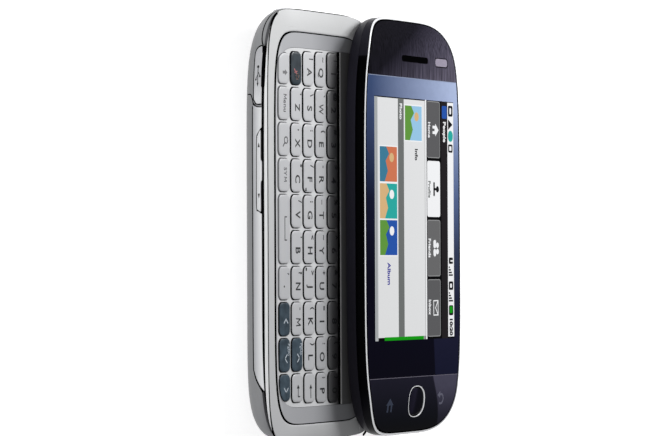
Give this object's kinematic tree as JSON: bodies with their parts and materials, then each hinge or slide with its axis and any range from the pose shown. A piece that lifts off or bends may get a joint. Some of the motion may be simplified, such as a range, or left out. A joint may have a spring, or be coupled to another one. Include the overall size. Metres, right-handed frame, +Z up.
{
  "type": "slider phone",
  "caption": "Side-sliding touch-screen phone, slid open: display half over a keyboard base with letter keys, side rocker, port flap, headphone jack and camera.",
  "frame": {"origin": "centre of the base half's flat back face, on the surface the phone lies on", "axes": "+Y along the phone towards the earpiece end, +X the way the display half slides open, +Z up out of the screen"},
  "size_m": [0.0882, 0.1094, 0.016],
  "materials": {
    "silver_satin": "satin silver lacquer",
    "grey_housing": "satin grey lacquer",
    "key_silver": "satin silver, moulded",
    "key_dark": "semi-gloss dark blue-grey",
    "black_plastic": "matt black",
    "graphite": "gloss graphite with a violet cast",
    "gloss_black": "high gloss",
    "rim_chrome": "bright plated",
    "glass_dark": "polished",
    "trim_brushed": "fine brushed lines under gloss",
    "cover_gloss": "high gloss",
    "sheet_rubber": "matt",
    "board": "solder mask",
    "steel": "satin",
    "plate_dark": "matt dark grey",
    "cell_wrap": "matt film",
    "lens_glass": "polished",
    "flash_clear": "clear moulded",
    "ribbon": "polyimide film",
    "lcd_stack": "panel stack"
  },
  "bodies": {
    "base": {"rear_housing": "grey_housing", "side_panels": "silver_satin", "front_bezel": "silver_satin", "mid_frame": "black_plastic", "deck_plate": "grey_housing", "key_frame": "silver_satin", "keypad_sheet": "sheet_rubber", "keyboard_board": "board", "main_board": "board", "shield_cans": "steel", "card_sockets": "steel", "usb_connector": "steel", "audio_jack": "black_plastic", "battery": "cell_wrap", "camera_module": "black_plastic", "camera_ring": "silver_satin", "camera_window": "lens_glass", "flash_lens": "flash_clear", "loudspeaker": "black_plastic", "vibration_motor": "steel", "case_screws": "steel", "slide_base_plate": "plate_dark", "guide_studs": "steel", "flex_cable": "ribbon", "slide_springs": "steel"},
    "display": {"slide_plate": "steel", "display_housing": "graphite", "display_frame": "gloss_black", "chrome_rim": "rim_chrome", "lcd_module": "lcd_stack", "touch_glass": "glass_dark", "top_trim": "trim_brushed", "lower_cover": "cover_gloss", "earpiece": "black_plastic", "sensor_window": "lens_glass", "button_ring": "rim_chrome", "display_screws": "steel"},
    "battery_cover": {"battery_cover": "grey_housing"},
    "volume_rocker": {"volume_rocker": "silver_satin"},
    "usb_cover": {"usb_cover": "silver_satin"},
    "camera_key": {"camera_key": "silver_satin"},
    "power_key": {"power_key": "silver_satin"},
    "menu_button": {"menu_button": "cover_gloss"},
    "number_keys": {"number_keys": "key_silver"},
    "qwerty_keys": {"qwerty_keys": "key_silver"},
    "home_row_keys": {"home_row_keys": "key_silver"},
    "lower_row_keys": {"lower_row_keys": "key_silver"},
    "fn_key": {"fn_key": "key_dark"},
    "shift_key": {"shift_key": "key_silver"},
    "menu_key": {"menu_key": "key_silver"},
    "search_key": {"search_key": "key_silver"},
    "symbol_key": {"symbol_key": "key_silver"},
    "space_key": {"space_key": "key_silver"},
    "period_key": {"period_key": "key_silver"},
    "left_key": {"left_key": "key_dark"},
    "down_key": {"down_key": "key_dark"},
    "right_key": {"right_key": "key_dark"},
    "up_key": {"up_key": "key_dark"},
    "enter_key": {"enter_key": "key_silver"},
    "backspace_key": {"backspace_key": "key_silver"}
  },
  "joints": [
    {"name": "display_slide", "type": "slide", "parent": "base", "child": "display", "axis": [1, 0, 0], "range_m": [-0.03525, 0]},
    {"name": "cover_slide", "type": "slide", "parent": "base", "child": "battery_cover", "axis": [0, -1, 0], "range_m": [0, 0.006]},
    {"name": "rocker_tilt", "type": "hinge", "parent": "base", "child": "volume_rocker", "pos_m": [-0.0259, 0.01325, 0.0072], "axis": [0, 0, 1], "range_deg": [-1.2, 1.2], "stiffness_Nm_per_rad": 0.5},
    {"name": "usb_flap", "type": "hinge", "parent": "base", "child": "usb_cover", "pos_m": [-0.0267, 0.03032, 0.0066], "axis": [0, 0, 1], "range_deg": [0, 90]},
    {"name": "camera_press", "type": "slide", "parent": "base", "child": "camera_key", "axis": [-1, 0, 0], "range_m": [0, 0.0003], "stiffness_N_per_m": 5000},
    {"name": "power_press", "type": "slide", "parent": "base", "child": "power_key", "axis": [0, -1, 0], "range_m": [0, 0.0003], "stiffness_N_per_m": 5000},
    {"name": "button_press", "type": "slide", "parent": "display", "child": "menu_button", "axis": [0, 0, -1], "range_m": [0, 0.00025], "stiffness_N_per_m": 5000},
    {"name": "number_press", "type": "slide", "parent": "base", "child": "number_keys", "axis": [0, 0, -1], "range_m": [0, 0.0003], "stiffness_N_per_m": 5000},
    {"name": "qwerty_press", "type": "slide", "parent": "base", "child": "qwerty_keys", "axis": [0, 0, -1], "range_m": [0, 0.0003], "stiffness_N_per_m": 5000},
    {"name": "home_row_press", "type": "slide", "parent": "base", "child": "home_row_keys", "axis": [0, 0, -1], "range_m": [0, 0.0003], "stiffness_N_per_m": 5000},
    {"name": "lower_row_press", "type": "slide", "parent": "base", "child": "lower_row_keys", "axis": [0, 0, -1], "range_m": [0, 0.0003], "stiffness_N_per_m": 5000},
    {"name": "fn_press", "type": "slide", "parent": "base", "child": "fn_key", "axis": [0, 0, -1], "range_m": [0, 0.0003], "stiffness_N_per_m": 5000},
    {"name": "shift_press", "type": "slide", "parent": "base", "child": "shift_key", "axis": [0, 0, -1], "range_m": [0, 0.0003], "stiffness_N_per_m": 5000},
    {"name": "menu_press", "type": "slide", "parent": "base", "child": "menu_key", "axis": [0, 0, -1], "range_m": [0, 0.0003], "stiffness_N_per_m": 5000},
    {"name": "search_press", "type": "slide", "parent": "base", "child": "search_key", "axis": [0, 0, -1], "range_m": [0, 0.0003], "stiffness_N_per_m": 5000},
    {"name": "symbol_press", "type": "slide", "parent": "base", "child": "symbol_key", "axis": [0, 0, -1], "range_m": [0, 0.0003], "stiffness_N_per_m": 5000},
    {"name": "space_press", "type": "slide", "parent": "base", "child": "space_key", "axis": [0, 0, -1], "range_m": [0, 0.0003], "stiffness_N_per_m": 5000},
    {"name": "period_press", "type": "slide", "parent": "base", "child": "period_key", "axis": [0, 0, -1], "range_m": [0, 0.0003], "stiffness_N_per_m": 5000},
    {"name": "left_press", "type": "slide", "parent": "base", "child": "left_key", "axis": [0, 0, -1], "range_m": [0, 0.0003], "stiffness_N_per_m": 5000},
    {"name": "down_press", "type": "slide", "parent": "base", "child": "down_key", "axis": [0, 0, -1], "range_m": [0, 0.0003], "stiffness_N_per_m": 5000},
    {"name": "right_press", "type": "slide", "parent": "base", "child": "right_key", "axis": [0, 0, -1], "range_m": [0, 0.0003], "stiffness_N_per_m": 5000},
    {"name": "up_press", "type": "slide", "parent": "base", "child": "up_key", "axis": [0, 0, -1], "range_m": [0, 0.0003], "stiffness_N_per_m": 5000},
    {"name": "enter_press", "type": "slide", "parent": "base", "child": "enter_key", "axis": [0, 0, -1], "range_m": [0, 0.0003], "stiffness_N_per_m": 5000},
    {"name": "backspace_press", "type": "slide", "parent": "base", "child": "backspace_key", "axis": [0, 0, -1], "range_m": [0, 0.0003], "stiffness_N_per_m": 5000}
  ]
}
